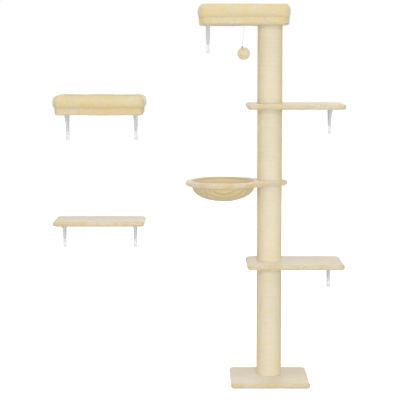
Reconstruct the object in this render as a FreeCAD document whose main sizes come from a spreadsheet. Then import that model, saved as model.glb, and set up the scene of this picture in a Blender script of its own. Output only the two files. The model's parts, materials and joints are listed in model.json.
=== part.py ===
"""Wall mounted cat tree: a sisal post on a base with two shelves, a hammock and a perch
with a bed, and two wall shelves that hang beside it on brackets of the same kind.

Millimetres. +Z is up, +X is to the right and the wall is at +Y, so the front faces -Y.
The origin is on the post's axis at the floor.
"""

import FreeCAD, Part
import math
import os
import Sketcher

SIZES = {
    # The post: four lengths of cardboard tube wound with sisal, clamped between the boards.
    "post_radius": 60,
    "rope_thick": 6,
    "tube_wall": 5,
    "plug_height": 40,
    "post_length_1": 531,
    "post_length_2": 365,
    "post_length_3": 342,
    "post_length_4": 371,
    # The threaded parts on the post's axis.
    "stud_radius": 4.9,
    "stud_reach": 22,
    "insert_radius": 7,
    "insert_length": 26,
    "thread_gap": 0.1,
    "bolt_hole_gap": 0.6,
    "bolt_head_radius": 8.5,
    "bolt_head_height": 5.5,
    "washer_radius": 12,
    "washer_thick": 2,
    "recess_gap": 1,
    "recess_depth": 10,
    # Boards and their plush. A padded board has a sheet of foam on it under the plush.
    "board_thick": 16,
    "pile": 4.5,
    "foam_thick": 12,
    "foam_bevel": 6,
    "board_edge": 10,
    "padded_edge": 12,
    "fit_gap": 0.3,
    # The wall's plane, in front of which the post stands.
    "wall_y": 150,
    # The base.
    "base_width": 374,
    "base_depth": 355,
    "base_corner": 16,
    # The two shelves on the post.
    "shelf_left": 110,
    "shelf_right": 352,
    "shelf_depth": 310,
    "shelf_corner": 24,
    "shelf_bracket_x": 300,
    # The perch on top of the post.
    "perch_left": 340,
    "perch_right": 88,
    "perch_depth": 310,
    "perch_corner": 42,
    "perch_bracket_x": -295,
    "perch_proud": 4,
    # The hammock: a ring round a sewn bowl, with a collar that the post clamps.
    "ring_x": -223,
    "ring_y": -32,
    "ring_radius": 180,
    "mouth_radius": 146,
    "collar_radius": 85,
    "bowl_drop": 76,
    "bowl_rim": 17,
    "cloth_thick": 4,
    # A bed: a stuffed bolster round a loose cushion. It stands proud of its board.
    "bolster_height": 61,
    "bolster_width": 62,
    "bolster_crown": 27,
    "bolster_foot": 12,
    "bed_gap": 1.5,
    "cushion_height": 30,
    "cushion_edge": 12,
    # The two shelves on the wall.
    "wall_shelf_depth": 255,
    "bed_shelf_x": -812.5,
    "bed_shelf_width": 420,
    "bed_shelf_proud": 10,
    "bed_shelf_under": 1284,
    "bed_bracket_left": 169,
    "bed_bracket_right": 165,
    "plain_shelf_x": -816.5,
    "plain_shelf_width": 437,
    "plain_shelf_under": 755,
    "plain_bracket_left": 183,
    "plain_bracket_right": 165,
    # A wall bracket: a bent steel strip with a channel brace welded across its corner.
    "bracket_height": 133,
    "bracket_reach": 150,
    "bracket_width": 19,
    "bracket_steel": 2,
    "bracket_bend": 3,
    "bracket_tip": 6,
    "leg_hole_top": 25,
    "leg_hole_low": 112,
    "leg_hole_radius": 2.6,
    "arm_hole_near": 25,
    "arm_hole_far": 137,
    "brace_drop": 94,
    "brace_run": 94,
    "brace_head_width": 22,
    "brace_head_web": 9,
    "brace_head_depth": 10,
    "brace_foot_width": 9,
    "brace_foot_web": 4,
    "brace_foot_depth": 4,
    "brace_steel": 1.6,
    # The screws that hold a board on its brackets.
    "screw_radius": 2,
    "screw_head_radius": 4,
    "screw_head_height": 2.4,
    "screw_length": 16,
    # The toy ball on its string.
    "toy_x": -128,
    "toy_y": -100,
    "eye_radius": 4.5,
    "eye_wire": 0.9,
    "eye_neck": 2,
    "eye_grip": 14,
    "loop_radius": 3.2,
    "string_radius": 0.9,
    "loop_gap": 0.4,
    "knot_radius": 2,
    "toy_drop": 134,
    "ball_radius": 29.5,
    "crimp_x": 8,
    "crimp_radius": 3,
    "crimp_height": 6,
}

doc = FreeCAD.newDocument("cat_tree")
sheet = doc.addObject("Spreadsheet::Sheet", "sizes")
for row, (alias, value) in enumerate(SIZES.items(), start=1):
    sheet.set(f"A{row}", alias)
    sheet.set(f"B{row}", str(value))
    sheet.setAlias(f"B{row}", alias)
doc.recompute()

# Places that several pieces share, as expressions on the sheet.
WALL = "sizes.wall_y"
TUBE_RADIUS = "(sizes.post_radius - sizes.rope_thick)"
PLUG_RADIUS = f"({TUBE_RADIUS} - sizes.tube_wall - sizes.fit_gap)"
BORE_RADIUS = "(sizes.stud_radius + sizes.bolt_hole_gap)"
RECESS_RADIUS = "(sizes.washer_radius + sizes.recess_gap)"
BOARD_RISE = "(sizes.board_thick + 2 * sizes.pile)"
PADDED_RISE = f"({BOARD_RISE} + sizes.foam_thick)"
POST_1 = BOARD_RISE
LOWER_SHELF = f"({POST_1} + sizes.post_length_1)"
POST_2 = f"({LOWER_SHELF} + {BOARD_RISE})"
HAMMOCK = f"({POST_2} + sizes.post_length_2)"
POST_3 = f"({HAMMOCK} + {BOARD_RISE})"
UPPER_SHELF = f"({POST_3} + sizes.post_length_3)"
POST_4 = f"({UPPER_SHELF} + {BOARD_RISE})"
PERCH = f"({POST_4} + sizes.post_length_4)"
BED_LEFT_BRACKET = "(sizes.bed_shelf_x - sizes.bed_bracket_left)"
BED_RIGHT_BRACKET = "(sizes.bed_shelf_x + sizes.bed_bracket_right)"
PLAIN_LEFT_BRACKET = "(sizes.plain_shelf_x - sizes.plain_bracket_left)"
PLAIN_RIGHT_BRACKET = "(sizes.plain_shelf_x + sizes.plain_bracket_right)"

# How many straight pieces the section of the hammock's bowl has from rim to bottom.
BOWL_PIECES = 6

nodes = []


# ---- Helpers -------------------------------------------------------------------------


def number(expression):
    """What an expression on the sheet comes to now."""
    value = sheet.evalExpression(str(expression))
    return float(getattr(value, "Value", value))


def node(item, name):
    """Count an object as a sub-part, under the name of its file."""
    item.Label = name
    nodes.append(item)
    return item


def place(item, x="0", y="0", z="0"):
    """Bind where an object stands."""
    item.setExpression("Placement.Base.x", x)
    item.setExpression("Placement.Base.y", y)
    item.setExpression("Placement.Base.z", z)
    return item


def turn(item, axis, angle):
    """Bind an object's turn about an axis, in degrees."""
    item.Placement = FreeCAD.Placement(FreeCAD.Vector(), FreeCAD.Rotation(axis, 1))
    item.setExpression("Placement.Rotation.Angle", angle)
    return item


def new_body(name):
    return doc.addObject("PartDesign::Body", name)


def new_sketch(body, name, role="XY_Plane", offset=None):
    """A sketch on one of the body's own planes, lifted off it by an offset."""
    plane = [item for item in body.Origin.OriginFeatures if item.Role == role][0]
    sketch = body.newObject("Sketcher::SketchObject", name)
    sketch.AttachmentSupport = [(plane, "")]
    sketch.MapMode = "FlatFace"
    if offset:
        sketch.setExpression("AttachmentOffset.Base.z", offset)
    return sketch


def pin(sketch, geometry, point, x, y):
    """Bind a sketch point's two coordinates."""
    for kind, expression in (("DistanceX", x), ("DistanceY", y)):
        constraint = Sketcher.Constraint(kind, -1, 1, geometry, point, number(expression))
        index = sketch.addConstraint(constraint)
        sketch.setExpression(f"Constraints[{index}]", expression)


def polygon(sketch, corners):
    """A closed outline of straight lines through corners whose coordinates are expressions."""
    points = [FreeCAD.Vector(number(x), number(y)) for x, y in corners]
    first = sketch.GeometryCount
    count = len(points)
    for i in range(count):
        sketch.addGeometry(Part.LineSegment(points[i], points[(i + 1) % count]))
    for i in range(count):
        following = first + (i + 1) % count
        sketch.addConstraint(Sketcher.Constraint("Coincident", first + i, 2, following, 1))
    for i, (x, y) in enumerate(corners):
        pin(sketch, first + i, 1, x, y)


def circle(sketch, radius, x="0", y="0"):
    centre = FreeCAD.Vector(number(x), number(y))
    index = sketch.addGeometry(Part.Circle(centre, FreeCAD.Vector(0, 0, 1), number(radius)))
    size = sketch.addConstraint(Sketcher.Constraint("Radius", index, number(radius)))
    sketch.setExpression(f"Constraints[{size}]", radius)
    pin(sketch, index, 3, x, y)


def pad(body, sketch, length, midplane=False):
    feature = body.newObject("PartDesign::Pad", body.Name + "_pad")
    feature.Profile = sketch
    feature.setExpression("Length", length)
    feature.Midplane = midplane
    doc.recompute()
    return feature


def pocket_through(body, sketch):
    """Cut a sketch right through the body, to both sides, and see that it cut."""
    before = body.Tip.Shape.Volume
    feature = body.newObject("PartDesign::Pocket", body.Name + "_pocket")
    feature.Profile = sketch
    feature.Type = "ThroughAll"
    feature.Midplane = True
    doc.recompute()
    if feature.Shape.Volume >= before:
        raise RuntimeError(f"{feature.Name} cut nothing")
    return feature


def revolve(body, sketch):
    """Turn a sketch right round its own vertical axis."""
    feature = body.newObject("PartDesign::Revolution", body.Name + "_turned")
    feature.Profile = sketch
    feature.ReferenceAxis = (sketch, ["V_Axis"])
    feature.Angle = 360
    return feature


def dress(body, kind, size_name, size, chosen):
    """Fillet or chamfer the edges of the body's last feature that the test chooses."""
    doc.recompute()
    last = body.Tip
    names = [f"Edge{i}" for i, edge in enumerate(last.Shape.Edges, start=1) if chosen(edge)]
    feature = body.newObject("PartDesign::" + kind, f"{body.Name}_{kind.lower()}")
    feature.Base = (last, names)
    feature.setExpression(size_name, size)
    doc.recompute()
    return feature


def fillet(body, radius, chosen):
    return dress(body, "Fillet", "Radius", radius, chosen)


def chamfer(body, size, chosen):
    return dress(body, "Chamfer", "Size", size, chosen)


def is_upright(edge):
    box = edge.BoundBox
    return box.ZLength > 1e-3 and box.XLength < 1e-3 and box.YLength < 1e-3


def is_level(edge):
    return edge.BoundBox.ZLength < 1e-3


def is_on_top(edge):
    box = edge.BoundBox
    return box.ZLength < 1e-3 and box.ZMin > 1e-3


def is_at_foot(edge):
    box = edge.BoundBox
    return box.ZLength < 1e-3 and box.ZMin <= 1e-3


def cylinder(name, radius, height, x="0", y="0", z="0"):
    item = doc.addObject("Part::Cylinder", name)
    item.setExpression("Radius", radius)
    item.setExpression("Height", height)
    return place(item, x, y, z)


def fused(name, items):
    item = doc.addObject("Part::MultiFuse", name)
    item.Shapes = items
    return item


def cut(name, base, tool):
    item = doc.addObject("Part::Cut", name)
    item.Base = base
    item.Tool = tool
    return item


def group(name, items):
    """Several loose solids in one object."""
    item = doc.addObject("Part::Compound", name)
    item.Links = items
    return item


# ---- Boards and their plush ----------------------------------------------------------


def slab(name, left, right, front, back, under, rise, corner, foot=None, crown=None):
    """A flat block with rounded corners in plan, and rounded lower and upper edges."""
    body = new_body(name)
    sketch = new_sketch(body, name + "_plan")
    polygon(sketch, [(left, front), (right, front), (right, back), (left, back)])
    pad(body, sketch, rise)
    fillet(body, corner, is_upright)
    if foot:
        fillet(body, foot, is_at_foot)
    if crown:
        fillet(body, crown, is_on_top)
    return place(body, z=under)


def covered_board(name, left, right, front, back, under, corner, drills, padded=False):
    """A board, the foam on it if it is padded, and the plush shell round both."""
    core = slab(
        name + "_core",
        f"{left} + sizes.pile",
        f"{right} - sizes.pile",
        f"{front} + sizes.pile",
        f"{back} - sizes.pile",
        f"{under} + sizes.pile",
        "sizes.board_thick",
        f"{corner} - sizes.pile",
    )
    rise = PADDED_RISE if padded else BOARD_RISE
    foot = "sizes.board_edge"
    crown = "sizes.padded_edge" if padded else foot
    shell = slab(name + "_shell", left, right, front, back, under, rise, corner, foot, crown)
    holes = fused(name + "_drills", drills) if len(drills) > 1 else drills[0]
    node(cut(name + "_board", core, holes), name + "_board")
    filling = [core, holes]
    if padded:
        foam = slab(
            name + "_foam_block",
            f"{left} + sizes.pile",
            f"{right} - sizes.pile",
            f"{front} + sizes.pile",
            f"{back} - sizes.pile",
            f"{under} + sizes.pile + sizes.board_thick",
            "sizes.foam_thick",
            f"{corner} - sizes.pile",
        )
        chamfer(foam, "sizes.foam_bevel", is_on_top)
        node(cut(name + "_foam", foam, holes), name + "_foam")
        filling.append(foam)
    inside = fused(name + "_inside", filling)
    return node(cut(name + "_cover", shell, inside), name + "_cover")


def stud_drill(name, under, rise=BOARD_RISE):
    """The hole on the post's axis through a board and its plush."""
    return cylinder(name + "_stud_hole", BORE_RADIUS, rise, z=under)


def screw_drills(name, bracket_x, under):
    """The two holes that a bracket's screws make in a board and its plush."""
    drills = []
    for end, hole in (("near", "sizes.arm_hole_near"), ("far", "sizes.arm_hole_far")):
        drill = cylinder(
            f"{name}_{end}_screw_hole",
            "sizes.screw_radius + sizes.thread_gap",
            "sizes.screw_length - sizes.bracket_steel + sizes.fit_gap",
            bracket_x,
            f"{WALL} - {hole}",
            under,
        )
        drills.append(drill)
    return drills


def base():
    recess = cylinder("base_recess", RECESS_RADIUS, "sizes.recess_depth")
    covered_board(
        "base",
        "-sizes.base_width / 2",
        "sizes.base_width / 2",
        f"{WALL} - sizes.base_depth",
        WALL,
        "0",
        "sizes.base_corner",
        [stud_drill("base", "0"), recess],
    )


def tree_shelf(name, under):
    drills = [stud_drill(name, under)]
    drills += screw_drills(name, "sizes.shelf_bracket_x", under)
    covered_board(
        name,
        "-sizes.shelf_left",
        "sizes.shelf_right",
        f"{WALL} - sizes.shelf_depth",
        WALL,
        under,
        "sizes.shelf_corner",
        drills,
    )
    bracket(name + "_bracket", "sizes.shelf_bracket_x", under)
    screws(name + "_screws", ["sizes.shelf_bracket_x"], under)


def perch():
    board_top = f"{PERCH} + sizes.pile + sizes.board_thick"
    recess = cylinder(
        "perch_recess", RECESS_RADIUS, "sizes.foam_thick + sizes.pile", z=board_top
    )
    eye_hole = cylinder(
        "perch_eye_hole",
        "sizes.eye_wire + sizes.thread_gap",
        "sizes.eye_grip + sizes.fit_gap",
        "sizes.toy_x",
        "sizes.toy_y",
        PERCH,
    )
    drills = [stud_drill("perch", PERCH, PADDED_RISE), recess, eye_hole]
    drills += screw_drills("perch", "sizes.perch_bracket_x", PERCH)
    left, right = "-sizes.perch_left", "sizes.perch_right"
    front = f"{WALL} - sizes.perch_depth"
    covered_board("perch", left, right, front, WALL, PERCH, "sizes.perch_corner", drills, True)
    bed("perch", left, right, front, f"{PERCH} + {PADDED_RISE}")
    bracket("perch_bracket", "sizes.perch_bracket_x", PERCH)
    screws("perch_screws", ["sizes.perch_bracket_x"], PERCH)


def wall_shelf(name, brackets, corner, padded):
    """A shelf that hangs on the wall by two brackets."""
    under = f"sizes.{name}_under"
    left = f"sizes.{name}_x - sizes.{name}_width / 2"
    right = f"sizes.{name}_x + sizes.{name}_width / 2"
    front = f"{WALL} - sizes.wall_shelf_depth"
    drills = []
    for side, bracket_x in brackets.items():
        drills += screw_drills(f"{name}_{side}", bracket_x, under)
        bracket(f"{name}_bracket_{side}", bracket_x, under)
    covered_board(name, left, right, front, WALL, under, corner, drills, padded)
    screws(name + "_screws", list(brackets.values()), under)
    if padded:
        bed(name, left, right, front, f"{under} + {PADDED_RISE}")


# ---- Beds ----------------------------------------------------------------------------


def bed(name, left, right, front, under):
    """A stuffed bolster round the edge of a padded board, and the cushion inside it."""
    proud = f"sizes.{name}_proud"
    left, right, front = f"{left} - {proud}", f"{right} + {proud}", f"{front} - {proud}"
    body = new_body(name + "_bolster")
    sketch = new_sketch(body, name + "_bolster_plan")
    polygon(sketch, [(left, front), (right, front), (right, WALL), (left, WALL)])
    inner_left, inner_right = f"{left} + sizes.bolster_width", f"{right} - sizes.bolster_width"
    inner_front, inner_back = f"{front} + sizes.bolster_width", f"{WALL} - sizes.bolster_width"
    polygon(
        sketch,
        [
            (inner_left, inner_front),
            (inner_right, inner_front),
            (inner_right, inner_back),
            (inner_left, inner_back),
        ],
    )
    pad(body, sketch, "sizes.bolster_height")
    fillet(body, "sizes.perch_corner", is_upright)
    fillet(body, "sizes.bolster_crown", is_on_top)
    fillet(body, "sizes.bolster_foot", is_at_foot)
    node(place(body, z=under), name + "_bolster")
    cushion = slab(
        name + "_cushion",
        f"{inner_left} + sizes.bed_gap",
        f"{inner_right} - sizes.bed_gap",
        f"{inner_front} + sizes.bed_gap",
        f"{inner_back} - sizes.bed_gap",
        under,
        "sizes.cushion_height",
        "sizes.perch_corner",
        crown="sizes.cushion_edge",
    )
    node(cushion, name + "_cushion")


# ---- The post ------------------------------------------------------------------------


def sleeve(name, outer, inner, length, under):
    body = new_body(name)
    sketch = new_sketch(body, name + "_ring")
    circle(sketch, outer)
    circle(sketch, inner)
    pad(body, sketch, length)
    return place(body, z=under)


def post_section(number_from_floor, under):
    """One length of the post: its tube, the sisal round it and the plug in each end."""
    name = f"post_{number_from_floor}"
    length = f"sizes.post_length_{number_from_floor}"
    top = f"{under} + {length}"
    tube = sleeve(name + "_tube", TUBE_RADIUS, f"{TUBE_RADIUS} - sizes.tube_wall", length, under)
    node(tube, name + "_tube")
    rope = sleeve(
        name + "_sisal", "sizes.post_radius", f"{TUBE_RADIUS} + sizes.thread_gap", length, under
    )
    node(rope, name + "_sisal")
    hole = "sizes.insert_radius + sizes.thread_gap"
    height = "sizes.plug_height"
    lower = sleeve(name + "_lower_plug", PLUG_RADIUS, hole, height, under)
    upper = sleeve(name + "_upper_plug", PLUG_RADIUS, hole, height, f"{top} - {height}")
    node(group(name + "_plugs", [lower, upper]), name + "_plugs")
    grip = "sizes.insert_length"
    bore = "sizes.stud_radius + sizes.thread_gap"
    return [
        sleeve(name + "_lower_insert", "sizes.insert_radius", bore, grip, under),
        sleeve(name + "_upper_insert", "sizes.insert_radius", bore, grip, f"{top} - {grip}"),
    ]


def post():
    inserts = []
    for i, under in enumerate((POST_1, POST_2, POST_3, POST_4), start=1):
        inserts += post_section(i, under)
    node(group("threaded_inserts", inserts), "threaded_inserts")
    studs = []
    for name, under in (("lower", LOWER_SHELF), ("hammock", HAMMOCK), ("upper", UPPER_SHELF)):
        stud = cylinder(
            name + "_stud",
            "sizes.stud_radius",
            f"{BOARD_RISE} + 2 * sizes.stud_reach",
            z=f"{under} - sizes.stud_reach",
        )
        studs.append(stud)
    node(group("joining_studs", studs), "joining_studs")


def washer(name, under):
    body = sleeve(
        name, "sizes.washer_radius", BORE_RADIUS, "sizes.washer_thick", under
    )
    return node(body, name)


def socket_bolt(name, seat, downwards):
    """A bolt whose head bears on a washer at the seat; its shank runs on into the post."""
    if downwards:
        head_under = f"{seat} + sizes.washer_thick"
        socket_under = f"{head_under} + sizes.bolt_head_height / 2"
        shank_under = f"{PERCH} - sizes.stud_reach"
        shank_length = f"{head_under} - ({shank_under})"
    else:
        head_under = f"{seat} - sizes.washer_thick - sizes.bolt_head_height"
        socket_under = head_under
        shank_under = f"{seat} - sizes.washer_thick"
        shank_length = f"{POST_1} + sizes.stud_reach - ({shank_under})"
    shank = cylinder(name + "_shank", "sizes.stud_radius", shank_length, z=shank_under)
    head = cylinder(
        name + "_head", "sizes.bolt_head_radius", "sizes.bolt_head_height", z=head_under
    )
    socket = doc.addObject("Part::Prism", name + "_socket")
    socket.Polygon = 6
    socket.setExpression("Circumradius", "sizes.bolt_head_radius / 2")
    socket.setExpression("Height", "sizes.bolt_head_height / 2")
    place(socket, z=socket_under)
    return node(cut(name, fused(name + "_blank", [shank, head]), socket), name)


def end_bolts():
    base_seat = "sizes.recess_depth"
    washer("base_washer", f"{base_seat} - sizes.washer_thick")
    socket_bolt("base_bolt", base_seat, downwards=False)
    perch_seat = f"({PERCH} + sizes.pile + sizes.board_thick)"
    washer("perch_washer", perch_seat)
    socket_bolt("perch_bolt", perch_seat, downwards=True)


# ---- The hammock ---------------------------------------------------------------------


def keyhole(name, ring, collar, mouth, under, rise, edge=None):
    """A ring round the hammock's mouth, with tangent sides that run on round the post."""
    body = new_body(name)
    sketch = new_sketch(body, name + "_plan")
    ring_centre = FreeCAD.Vector(number("sizes.ring_x"), number("sizes.ring_y"))
    post_centre = FreeCAD.Vector(0, 0)
    along = post_centre - ring_centre
    ring_now, collar_now = number(ring), number(collar)
    # The tangent points lie at the same angle on both circles, either side of their line.
    lean = FreeCAD.Vector(1, 0).getAngle(along)
    lean = lean if along.y >= 0 else -lean
    spread = math.acos((ring_now - collar_now) / along.Length)
    up, down = lean + spread, lean - spread
    normal = FreeCAD.Vector(0, 0, 1)

    def at(centre, radius, angle):
        return centre + FreeCAD.Vector(math.cos(angle), math.sin(angle)) * radius

    ring_circle = Part.Circle(ring_centre, normal, ring_now)
    collar_circle = Part.Circle(post_centre, normal, collar_now)
    sketch.addGeometry(Part.ArcOfCircle(ring_circle, up, down + 2 * math.pi))
    sketch.addGeometry(
        Part.LineSegment(at(ring_centre, ring_now, down), at(post_centre, collar_now, down))
    )
    sketch.addGeometry(Part.ArcOfCircle(collar_circle, down, up))
    sketch.addGeometry(
        Part.LineSegment(at(post_centre, collar_now, up), at(ring_centre, ring_now, up))
    )
    for i, (this_end, next_start) in enumerate(((2, 1), (2, 1), (2, 1), (2, 1))):
        sketch.addConstraint(
            Sketcher.Constraint("Tangent", i, this_end, (i + 1) % 4, next_start)
        )
    pin(sketch, 0, 3, "sizes.ring_x", "sizes.ring_y")
    pin(sketch, 2, 3, "0", "0")
    for index, radius in ((0, ring), (2, collar)):
        size = sketch.addConstraint(Sketcher.Constraint("Radius", index, number(radius)))
        sketch.setExpression(f"Constraints[{size}]", radius)
    circle(sketch, mouth, "sizes.ring_x", "sizes.ring_y")
    pad(body, sketch, rise)
    if edge:
        fillet(body, edge, is_level)
    return place(body, z=under)


def hammock_bowl():
    """A bowl of thick cloth, whose section is a chain of straight pieces along an ellipse,
    with a rim that stands up inside the ring."""
    radius = "(sizes.mouth_radius - sizes.fit_gap)"
    step = 90 / BOWL_PIECES

    def corner(wide, deep, i):
        return (f"{wide} * cos({i * step} deg)", f"-{deep} * sin({i * step} deg)")

    inner_radius = f"({radius} - sizes.cloth_thick)"
    inner_drop = "(sizes.bowl_drop - sizes.cloth_thick)"
    outside = [corner(radius, "sizes.bowl_drop", i) for i in range(BOWL_PIECES)]
    inside = [corner(inner_radius, inner_drop, i) for i in reversed(range(BOWL_PIECES))]
    outline = [(radius, "sizes.bowl_rim")] + outside + [("0", "-sizes.bowl_drop")]
    outline += [("0", f"-{inner_drop}")] + inside + [(inner_radius, "sizes.bowl_rim")]
    body = new_body("hammock_bowl")
    profile = new_sketch(body, "hammock_bowl_section", "XZ_Plane")
    polygon(profile, outline)
    revolve(body, profile)
    place(body, "sizes.ring_x", "sizes.ring_y", HAMMOCK)
    node(body, "hammock_bowl")


def hammock():
    core = keyhole(
        "hammock_core",
        "sizes.ring_radius - sizes.pile",
        "sizes.collar_radius - sizes.pile",
        "sizes.mouth_radius + sizes.pile",
        f"{HAMMOCK} + sizes.pile",
        "sizes.board_thick",
    )
    shell = keyhole(
        "hammock_shell",
        "sizes.ring_radius",
        "sizes.collar_radius",
        "sizes.mouth_radius",
        HAMMOCK,
        BOARD_RISE,
        "sizes.board_edge",
    )
    drill = stud_drill("hammock", HAMMOCK)
    node(cut("hammock_board", core, drill), "hammock_board")
    inside = fused("hammock_inside", [core, drill])
    node(cut("hammock_cover", shell, inside), "hammock_cover")
    hammock_bowl()


# ---- Brackets ------------------------------------------------------------------------


def bracket_strip(name):
    """The strip, bent square: its leg goes down the wall and its arm out under the board."""
    body = new_body(name + "_strip")
    steel = "sizes.bracket_steel"
    side = new_sketch(body, name + "_side", "YZ_Plane")
    polygon(
        side,
        [
            ("0", "0"),
            ("-sizes.bracket_reach", "0"),
            ("-sizes.bracket_reach", f"-{steel}"),
            (f"-{steel}", f"-{steel}"),
            (f"-{steel}", "-sizes.bracket_height"),
            ("0", "-sizes.bracket_height"),
        ],
    )
    pad(body, side, "sizes.bracket_width", midplane=True)
    thick = number(steel)
    reach = number("sizes.bracket_reach")
    height = number("sizes.bracket_height")

    def runs_across(edge):
        return edge.BoundBox.XLength > 1e-3 and edge.BoundBox.YLength < 1e-3

    def is_inner_bend(edge):
        box = edge.BoundBox
        at_corner = abs(box.YMin + thick) < 1e-3 and abs(box.ZMin + thick) < 1e-3
        return runs_across(edge) and at_corner

    def is_outer_bend(edge):
        box = edge.BoundBox
        return runs_across(edge) and abs(box.YMin) < 1e-3 and abs(box.ZMin) < 1e-3

    def is_tip(edge):
        box = edge.BoundBox
        arm_tip = is_upright(edge) and box.YMin < 1e-3 - reach
        leg_tip = box.YLength > 1e-3 and box.ZLength < 1e-3 and box.ZMin < 1e-3 - height
        return arm_tip or (leg_tip and box.XLength < 1e-3)

    fillet(body, "sizes.bracket_bend", is_inner_bend)
    fillet(body, "sizes.bracket_bend + sizes.bracket_steel", is_outer_bend)
    fillet(body, "sizes.bracket_tip", is_tip)
    leg = new_sketch(body, name + "_leg_holes", "XZ_Plane")
    for drop in ("-sizes.leg_hole_top", "-sizes.leg_hole_low"):
        circle(leg, "sizes.leg_hole_radius", "0", drop)
    pocket_through(body, leg)
    arm = new_sketch(body, name + "_arm_holes", "XY_Plane")
    for reach_to in ("-sizes.arm_hole_near", "-sizes.arm_hole_far"):
        circle(arm, "sizes.screw_radius + sizes.fit_gap", "0", reach_to)
    pocket_through(body, arm)
    return body


def channel(sketch, width, web, depth):
    """A channel's section: a narrow web with sides that splay out to its width."""
    steel = "sizes.brace_steel"
    polygon(
        sketch,
        [
            (f"-{web} / 2", "0"),
            (f"{web} / 2", "0"),
            (f"{width} / 2", depth),
            (f"{width} / 2 - {steel}", depth),
            (f"{web} / 2 - {steel} / 2", steel),
            (f"-{web} / 2 + {steel} / 2", steel),
            (f"-{width} / 2 + {steel}", depth),
            (f"-{width} / 2", depth),
        ],
    )


def bracket_brace(name):
    """The tapered channel across the corner, cut off inside the strip that it is welded to."""
    body = new_body(name + "_channel")
    length = "sqrt(sizes.brace_drop ^ 2 + sizes.brace_run ^ 2)"
    foot = new_sketch(body, name + "_foot", offset="-sizes.bracket_tip")
    channel(foot, "sizes.brace_foot_width", "sizes.brace_foot_web", "sizes.brace_foot_depth")
    head = new_sketch(body, name + "_head", offset=f"{length} + sizes.bracket_tip")
    channel(head, "sizes.brace_head_width", "sizes.brace_head_web", "sizes.brace_head_depth")
    doc.recompute()
    loft = body.newObject("PartDesign::AdditiveLoft", name + "_loft")
    loft.Profile = foot
    loft.Sections = [head]
    loft.Ruled = True
    turn(body, FreeCAD.Vector(1, 0, 0), "90 deg - atan(sizes.brace_drop / sizes.brace_run)")
    place(body, z="-sizes.brace_drop")
    corner = doc.addObject("Part::Box", name + "_corner")
    half_steel = "sizes.bracket_steel / 2"
    corner.setExpression("Length", "2 * sizes.brace_head_width")
    corner.setExpression("Width", "sizes.bracket_reach")
    corner.setExpression("Height", "sizes.bracket_height")
    place(
        corner,
        "-sizes.brace_head_width",
        f"-sizes.bracket_reach - {half_steel}",
        f"-sizes.bracket_height - {half_steel}",
    )
    trimmed = doc.addObject("Part::Common", name + "_brace")
    trimmed.Base = body
    trimmed.Tool = corner
    return trimmed


def bracket(name, centre_x, under):
    """A whole bracket, standing against the wall under a board."""
    item = fused(name, [bracket_strip(name), bracket_brace(name)])
    return node(place(item, centre_x, WALL, under), name)


def screws(name, brackets, under):
    """The pan head screws that go up through the brackets' arms into a board."""
    items = []
    for i, bracket_x in enumerate(brackets, start=1):
        for hole in ("near", "far"):
            screw = new_body(f"{name}_{hole}_{i}")
            profile = new_sketch(screw, f"{name}_{hole}_{i}_profile", "XZ_Plane")
            seat = "-sizes.bracket_steel"
            tip = f"{seat} + sizes.screw_length"
            polygon(
                profile,
                [
                    ("0", f"{seat} - sizes.screw_head_height"),
                    ("sizes.screw_head_radius * 0.8", f"{seat} - sizes.screw_head_height"),
                    ("sizes.screw_head_radius", seat),
                    ("sizes.screw_radius", seat),
                    ("sizes.screw_radius", f"{tip} - sizes.screw_radius"),
                    ("0", tip),
                ],
            )
            revolve(screw, profile)
            place(screw, bracket_x, f"{WALL} - sizes.arm_hole_{hole}", under)
            items.append(screw)
    return node(group(name, items), name)


# ---- The toy -------------------------------------------------------------------------

EYE_CENTRE = f"({PERCH} - sizes.eye_neck - sizes.eye_wire - sizes.eye_radius)"
EYE_WIRE_AT = f"({EYE_CENTRE} - sizes.eye_radius)"
LOOP_CENTRE = (
    f"({EYE_WIRE_AT} + sizes.eye_wire + sizes.string_radius + sizes.loop_gap"
    " - sizes.loop_radius)"
)
KNOT = f"({LOOP_CENTRE} - sizes.loop_radius - sizes.knot_radius * 3 / 4)"
BALL = f"({PERCH} - sizes.toy_drop)"
CRIMP_RISE = "sqrt(sizes.ball_radius ^ 2 - sizes.crimp_x ^ 2)"
STRING_DROP = f"({KNOT} - {BALL} - {CRIMP_RISE})"
STRING_LEAN = f"atan(sizes.crimp_x / {STRING_DROP})"
STRING_START = "(sizes.knot_radius + sizes.fit_gap)"
CRIMP_AT = f"(sqrt({STRING_DROP} ^ 2 + sizes.crimp_x ^ 2) - sizes.crimp_height)"


def hung(item, distance):
    """Place something on the string's line, so far from the knot, pointing down it."""
    turn(item, FreeCAD.Vector(0, 1, 0), f"180 deg + {STRING_LEAN}")
    return place(
        item,
        f"sizes.toy_x - {distance} * sin({STRING_LEAN})",
        "sizes.toy_y",
        f"{KNOT} - {distance} * cos({STRING_LEAN})",
    )


def ring(name, radius, wire, axis, z):
    item = doc.addObject("Part::Torus", name)
    item.setExpression("Radius1", radius)
    item.setExpression("Radius2", wire)
    item.Placement = FreeCAD.Placement(FreeCAD.Vector(), FreeCAD.Rotation(axis, 90))
    return place(item, "sizes.toy_x", "sizes.toy_y", z)


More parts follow.
